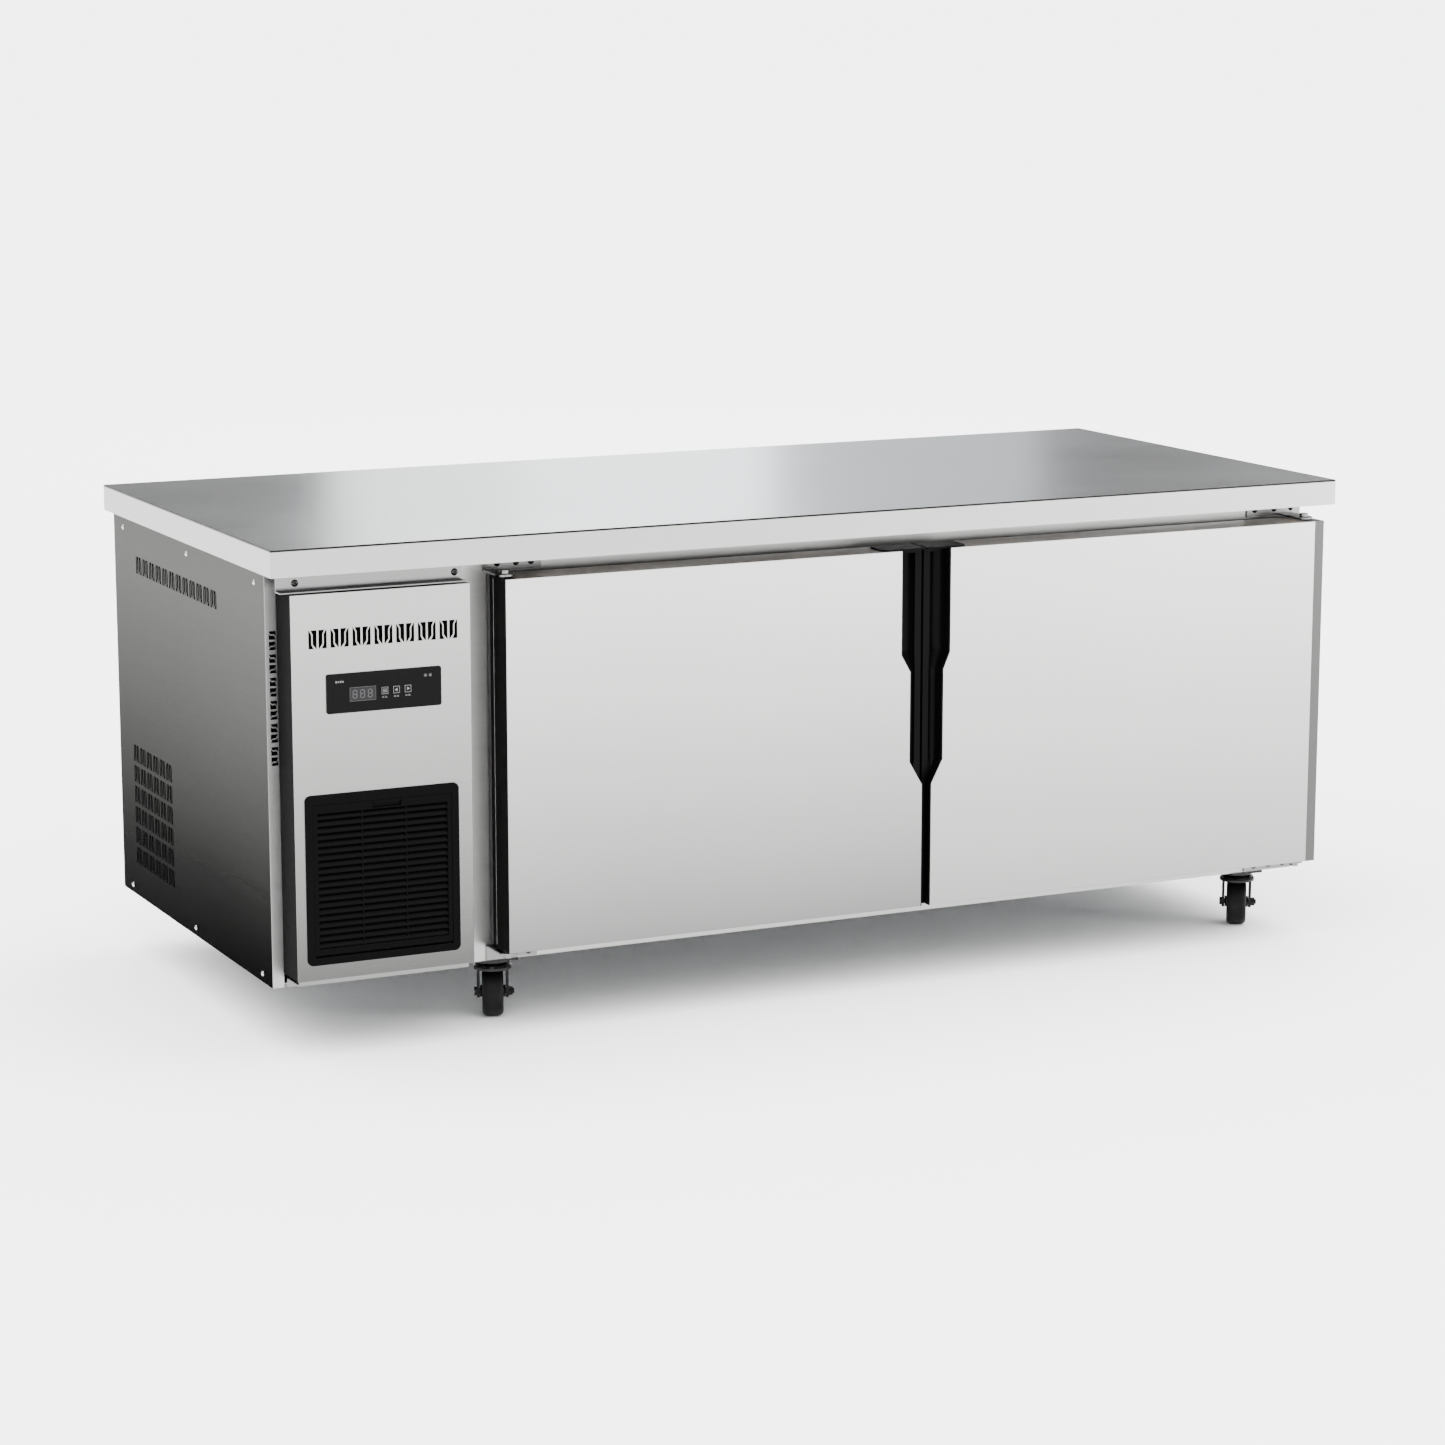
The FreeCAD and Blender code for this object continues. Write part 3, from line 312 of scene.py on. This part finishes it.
# %% [markdown]
# The fold where the worktop turns down takes a nearly black copy of the steel, a painted dark
# reflection that draws the bend as a fine line.  The faces that are neither level nor upright take this
# darker finish of their own.

# %% worktop fold
top_mesh = nodes["worktop_skin"].data
top_mesh.materials.append(steel_painted_dark)
folded = 0
for face in top_mesh.polygons:
    if 0.15 < face.normal.z < 0.985:
        face.material_index = 1
        folded += 1
print("faces on the fold:", folded)

# %% [markdown]
# The turned-down front and ends of the worktop are brushed along the edge like the doors, and they
# take a darker copy of the steel: painted shade on the upright faces.  On the left end panel the front
# flange faces the same way as the doors, so it takes the lighter front-frame copy instead of the dark
# end-panel copy: painted light on the face turned to the lamps.  The walls of the pressed slots are raw
# sheared metal; they take the nearly black copy, painted shade inside the slots.

# %% edges, flange and slot walls
top_mesh.materials.append(steel_apron_shaded)
for face in top_mesh.polygons:
    if abs(face.normal.z) <= 0.15:
        face.material_index = 2
side_mesh = nodes["left_side_panel"].data
side_mesh.materials.append(steel_frame)
for face in side_mesh.polygons:
    if face.normal.y < -0.9 and face.center.y < -0.3325:
        face.material_index = 1


# vent fields, each (from, to, bottom, top) across its own sheet
END_UPPER = (-0.125, 0.290, 0.618, 0.657)
END_LOWER = (0.115, 0.330, 0.143, 0.350)
FLANGE = (-0.8845, -0.8705, 0.420, 0.640)
FRONT = (-0.852, -0.606, 0.600, 0.636)
REAR_UPPER = (-0.852, -0.605, 0.487, 0.593)
REAR_LOWER = (-0.786, -0.606, 0.190, 0.363)


def dark_walls(name, facing, fields):
    """Gives the nearly black painted-shade finish to the slot walls of a sheet that faces along x (0) or y
    (1).
    """
    mesh = nodes[name].data
    mesh.materials.append(steel_painted_dark)
    last = len(mesh.materials) - 1
    across = 1 - facing
    count = 0
    for face in mesh.polygons:
        inside = any(a0 < face.center[across] < a1 and b0 < face.center.z < b1 for a0, a1, b0, b1 in fields)
        if inside and abs(face.normal[facing]) < 0.5:
            face.material_index = last
            count += 1
    return count


walls = dark_walls("left_side_panel", 0, [END_UPPER, END_LOWER])
walls += dark_walls("left_side_panel", 1, [FLANGE])
walls += dark_walls("machine_panel", 1, [FRONT])
walls += dark_walls("rear_vent_panel", 1, [REAR_UPPER, REAR_LOWER])
print("dark slot walls:", walls)

# %% [markdown]
# ## Soften the folded edges
# Sheet metal never folds to a knife edge.  A narrow rounded edge catches a thin line of light along
# each fold, which is most of what makes a plain box read as folded steel.

# %% edge softening
def soften(name, width, segments=2, angle=40.0):
    mod = nodes[name].modifiers.new("edge", "BEVEL")
    mod.width = width
    mod.segments = segments
    mod.limit_method = "ANGLE"
    mod.angle_limit = math.radians(angle)
    mod.harden_normals = True


TRIM_EDGE, SHEET_EDGE = 0.0006, 0.0003
for name in ("machine_panel_trim", "door_left_hinge_trim", "door_right_hinge_trim", "control_housing",
             "cable_gland"):
    soften(name, TRIM_EDGE)
for name in ("machine_panel_brackets", "hinge_brackets", "centre_mullion"):
    soften(name, SHEET_EDGE)
print("softened:", sum(1 for o in nodes.values() if o.modifiers))

# %% [markdown]
# ## Printed marks on the controller
# The controller film carries pale printing: an outline and a sign on each key, two short captions
# under every key, small signs in the top corners, and a window with three unlit figures.  Print has
# almost no thickness, so each mark is a flat chip a tenth of a millimetre thick.

# %% print helpers
film_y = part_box("control_fascia")[0][1]
key_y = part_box("control_button_1")[0][1]
window_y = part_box("display_window")[0][1]
INK = 0.00012


def finished(name, bm, mat, body):
    """Turns a bmesh into a piece at the origin that rides on a body."""
    bmesh.ops.recalc_face_normals(bm, faces=bm.faces[:])
    mesh = bpy.data.meshes.new(name)
    bm.to_mesh(mesh)
    bm.free()
    obj = bpy.data.objects.new(name, mesh)
    bpy.context.scene.collection.objects.link(obj)
    obj.data.materials.append(mat)
    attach(obj, body)
    return obj


def block(bm, centre, size):
    """A plain block of a given size round a centre."""
    bmesh.ops.create_cube(bm, size=1.0, matrix=Matrix.Translation(centre) @ Matrix.Diagonal((*size, 1.0)))


def chip(bm, x, z, w, h, y, turn=0.0, slant=0.0):
    """A flat rectangle of print facing the front."""
    place = Matrix.Translation((x, y - INK / 2, z)) @ Matrix.Rotation(turn, 4, "Y")
    made = bmesh.ops.create_cube(bm, size=1.0, matrix=place @ Matrix.Diagonal((w, INK, h, 1.0)))
    if slant:
        for v in made["verts"]:
            v.co.x += slant * (v.co.z - z)


def outline(bm, x, z, w, h, line, y):
    for side in (-1, 1):
        chip(bm, x + side * (w - line) / 2, z, line, h, y)
        chip(bm, x, z + side * (h - line) / 2, w - 2 * line, line, y)


# %% [markdown]
# The window shows three seven-bar figures that are off, so all seven bars are faintly visible.
# Each bar is a chip, and the whole figure leans a little to the right as such figures do.

# %% display figures
(wx0, wy0, wz0), (wx1, wy1, wz1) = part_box("display_window")
bars = bmesh.new()
cz = (wz0 + wz1) / 2
for k in range(3):
    cx = wx0 + (wx1 - wx0) * (0.2 + 0.29 * k)
    w, h, t = 0.0072, 0.0128, 0.0015
    for level in (-1, 0, 1):
        chip(bars, cx, cz + level * (h - t) / 2, w - 2 * t, t, window_y, slant=0.08)
    for side in (-1, 1):
        for half in (-1, 1):
            chip(bars, cx + side * (w - t) / 2, cz + half * (h - t) / 4, t, h / 2 - t, window_y, slant=0.08)
figures = finished("display_figures", bars, ink_dim, "cabinet")
edge = bmesh.new()
outline(edge, (wx0 + wx1) / 2, cz, wx1 - wx0, wz1 - wz0, 0.0006, window_y)
finished("display_edge", edge, ink_dim, "cabinet")
print("figure bars:", len(figures.data.polygons) // 6)

# %% [markdown]
# The keys carry a pale square outline with a sign inside: a set mark, an up arrow and a down arrow.
# They are printed on the keys themselves, so they travel with them.

# %% key signs and captions
ARROW = 0.0030
for k in (1, 2, 3):
    (x0, y0, z0), (x1, y1, z1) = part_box("control_button_%d" % k)
    cx, cz = (x0 + x1) / 2, (z0 + z1) / 2
    sign = bmesh.new()
    outline(sign, cx, cz, 0.0098, 0.0102, 0.0006, key_y)
    if k == 1:
        outline(sign, cx, cz, 0.0052, 0.0052, 0.0007, key_y)
        chip(sign, cx, cz, 0.0018, 0.0018, key_y)
    else:
        way = 1 if k == 2 else -1
        place = Matrix.Translation((cx, key_y - INK / 2, cz - way * 0.0002))
        place = place @ Matrix.Rotation(math.radians(90), 4, "X")
        place = place @ Matrix.Rotation(math.radians(90 if way > 0 else -90), 4, "Z")
        bmesh.ops.create_cone(sign, segments=3, radius1=ARROW, radius2=ARROW, depth=INK, cap_ends=True,
                              matrix=place)
    finished("key_sign_%d" % k, sign, ink_pale, "button_%d" % k)
captions = bmesh.new()
for k in (1, 2, 3):
    (x0, y0, z0), (x1, y1, z1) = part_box("control_button_%d" % k)
    cx = (x0 + x1) / 2
    for step in (-1, 1):
        chip(captions, cx + step * 0.0022, z0 - 0.0048, 0.0034, 0.0007, film_y)
        chip(captions, cx + step * 0.0022, z0 - 0.0033, 0.0030, 0.0006, film_y)
        chip(captions, cx + step * 0.0022, z0 - 0.0040, 0.0007, 0.0022, film_y)
finished("key_captions", captions, ink_pale, "cabinet")
marks = bmesh.new()
(fx0, fy0, fz0), (fx1, fy1, fz1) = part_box("control_fascia")
for k in range(4):
    chip(marks, fx0 + 0.0150 + 0.0034 * k, fz1 - 0.0118, 0.0021, 0.0030 - 0.0005 * (k % 2), film_y)
for k in range(2):
    cx = fx1 - 0.0245 + 0.0075 * k
    for turn in (0.0, 60.0, 120.0):
        chip(marks, cx, fz1 - 0.0120, 0.0052, 0.0006, film_y, turn=math.radians(turn + 30 * k))
finished("corner_marks", marks, ink_pale, "cabinet")

# %% [markdown]
# ## Recesses in the screw heads
# Every screw is driven through a cross recess.  A dark cross a little below the crown of the dome is
# enough to read as one at this size, so two thin black bars are laid over the top of each head; their
# black is painted shade in the recess.

# %% screw crosses
CROSS_LONG, CROSS_SHORT, CROSS_THICK = 0.0055, 0.0011, 0.0004
CROWN = 0.00545    # how far the bracket screw heads stand out from the frame
TOP_ROW, BOTTOM_ROW = 0.697, 0.106


def crosses(name, crowns, mat):
    """Lays a thin cross over each crown, given as (x, y, z)."""
    bm = bmesh.new()
    for crown in crowns:
        block(bm, crown, (CROSS_SHORT, CROSS_THICK, CROSS_LONG))
        block(bm, crown, (CROSS_LONG, CROSS_THICK, CROSS_SHORT))
    return finished(name, bm, mat, "cabinet")


head_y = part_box("front_frame")[0][1] - CROWN
crowns = [(x, head_y, TOP_ROW) for x in (-0.523, -0.493, -0.469, 0.799, 0.836, 0.868)]
crowns += [(x, head_y, BOTTOM_ROW) for x in (-0.500, -0.479, 0.815, 0.843, 0.871)]
crowns += [(x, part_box("bracket_screws")[0][1], TOP_ROW) for x in (-0.855, -0.611)]
crosses("bracket_screw_crosses", crowns, key_plastic)
print("crossed heads:", len(crowns))

# %% [markdown]
# ## Dark sheets behind the vents
# Thin black sheets sit just behind the pressed vents.  They are painted shade: the closed machine
# compartment is dark inside, and the sheets are what makes every slot read as dark from outside.

# %% dark sheets behind the vents
SCREEN_THICK = 0.0006
FLANGE_SCREEN = (-0.8845, -0.8720, 0.420, 0.640)
fields = [(0, -0.8855, END_UPPER), (0, -0.8855, END_LOWER), (1, -0.3305, FLANGE_SCREEN), (1, -0.3944, FRONT),
          (1, 0.3855, REAR_UPPER), (1, 0.3855, REAR_LOWER)]
screens = bmesh.new()
for facing, start, (a0, a1, b0, b1) in fields:
    middle, width = start + SCREEN_THICK / 2, a1 - a0
    if facing == 0:
        block(screens, (middle, (a0 + a1) / 2, (b0 + b1) / 2), (SCREEN_THICK, width, b1 - b0))
    else:
        block(screens, ((a0 + a1) / 2, middle, (b0 + b1) / 2), (width, SCREEN_THICK, b1 - b0))
finished("vent_shade_sheets", screens, filter_cloth, "cabinet")
print("vent shade sheets:", len(fields))

# %% [markdown]
# ## Door gasket bellows
# A magnetic gasket is a hollow bellows: under the flat magnet strip the side folds inwards.  Two
# thin black strips around each magnet strip stand for the folds and show when the door is open; their black
# is painted shade in the creases.

# %% gasket folds
FOLD_WIDE, FOLD_DEEP = 0.0009, 0.0004
for side in ("left", "right"):
    (x0, y0, z0), (x1, y1, z1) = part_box("door_%s_gasket" % side)
    cx, cz, back = (x0 + x1) / 2, (z0 + z1) / 2, y1 - 0.0001
    folds = bmesh.new()
    for inset in (0.0052, 0.0128):
        for x in (x0 + inset, x1 - inset):
            block(folds, (x, back, cz), (FOLD_WIDE, FOLD_DEEP, z1 - z0 - 2 * inset))
        for z in (z0 + inset, z1 - inset):
            block(folds, (cx, back, z), (x1 - x0 - 2 * inset, FOLD_DEEP, FOLD_WIDE))
    finished("door_%s_gasket_folds" % side, folds, black_plastic, "door_" + side)
    print("folds round the", side, "gasket:", 2)

# %% [markdown]
# Between the hinge strip of the left door and the seal behind it, the raw edge of the door sheet
# shows as one bright upright line.

# %% door sheet edge
(x0, y0, z0), (x1, y1, z1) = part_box("door_left_hinge_trim")
tall = z1 - z0 - 0.008
line = bmesh.new()
block(line, (x0 - 0.0001, y1 - 0.0155, (z0 + z1) / 2), (0.0003, 0.0013, tall))
finished("door_left_edge_line", line, steel_small, "door_left")
print("edge line height:", round(tall, 3))

# %% [markdown]
# ## The studio
# The refrigerator stands on a very large pale floor under soft light.  The sky is dim near the
# horizon and bright overhead, so it lights the floor and the worktop and leaves upright sheets calm.

# %% floor and world
FLOOR_HALF = 600.0
floor_mesh = bmesh.new()
bmesh.ops.create_grid(floor_mesh, x_segments=1, y_segments=1, size=FLOOR_HALF)
mesh = bpy.data.meshes.new("floor")
floor_mesh.to_mesh(mesh)
floor_mesh.free()
floor = bpy.data.objects.new("floor", mesh)
bpy.context.scene.collection.objects.link(floor)
floor_mat, tree, shader = new_material("floor_pale", (0.93, 0.93, 0.93), 0.9)
shader.inputs["Specular IOR Level"].default_value = 0.05
floor.data.materials.append(floor_mat)

world = bpy.data.worlds.new("studio")
world.use_nodes = True
tree = world.node_tree
sky = tree.nodes["Background"]
sky.inputs["Color"].default_value = (1.0, 1.0, 1.0, 1.0)
around = tree.nodes.new("ShaderNodeTexCoord")
parts = tree.nodes.new("ShaderNodeSeparateXYZ")
tree.links.new(around.outputs["Generated"], parts.inputs["Vector"])
rise = tree.nodes.new("ShaderNodeMapRange")
rise.interpolation_type = "SMOOTHSTEP"
rise.inputs["From Min"].default_value = 0.22
rise.inputs["From Max"].default_value = 0.75
rise.inputs["To Min"].default_value = 0.22
rise.inputs["To Max"].default_value = 7.5
tree.links.new(parts.outputs["Z"], rise.inputs["Value"])
tree.links.new(rise.outputs["Result"], sky.inputs["Strength"])
bpy.context.scene.world = world
print("floor half width:", FLOOR_HALF)

# %% [markdown]
# A large lamp with a cloth front gives light without hard shadows, and a rectangular area light
# acts in the same way.  One panel at the front right lights the doors.  Two more behind are mirrored
# in the worktop: a bright band, and a weaker and slightly bluer shoulder beside it.

# %% lights
def softbox(name, place, target, wide, tall, power, color=(1.0, 1.0, 1.0)):
    light = bpy.data.lights.new(name, "AREA")
    light.shape = "RECTANGLE"
    light.size = wide
    light.size_y = tall
    light.energy = power
    light.color = color
    obj = bpy.data.objects.new(name, light)
    aim = Vector(target) - Vector(place)
    obj.matrix_world = Matrix.Translation(place) @ aim.to_track_quat("-Z", "Y").to_matrix().to_4x4()
    bpy.context.scene.collection.objects.link(obj)
    return obj


softbox("front_panel", (4.8, -4.3, 0.95), (0.6, -0.4, 0.4), 1.6, 1.6, 170.0)
softbox("back_band", (2.80, 7.2, 2.3), (0.0, 0.0, 0.75), 1.6, 2.0, 32.0, (0.97, 0.99, 1.0))
softbox("back_shoulder", (3.9, 7.6, 2.3), (0.0, 0.0, 0.75), 2.0, 2.0, 12.0, (0.88, 0.95, 1.0))

# %% [markdown]
# ## The camera
# A long lens, seen from the front left and a little above, keeps the two end faces nearly
# parallel.

# %% camera
lens = bpy.data.cameras.new("camera")
lens.lens = 96.6
lens.sensor_width = 36.0
lens.clip_end = 2000.0
camera = bpy.data.objects.new("camera", lens)
camera.location = (-2.675, -5.540, 1.547)
camera.rotation_euler = (math.radians(90.0 - 10.93), 0.0, math.radians(-25.77))
bpy.context.scene.collection.objects.link(camera)
bpy.context.scene.camera = camera
print("camera lens in millimetres:", lens.lens)
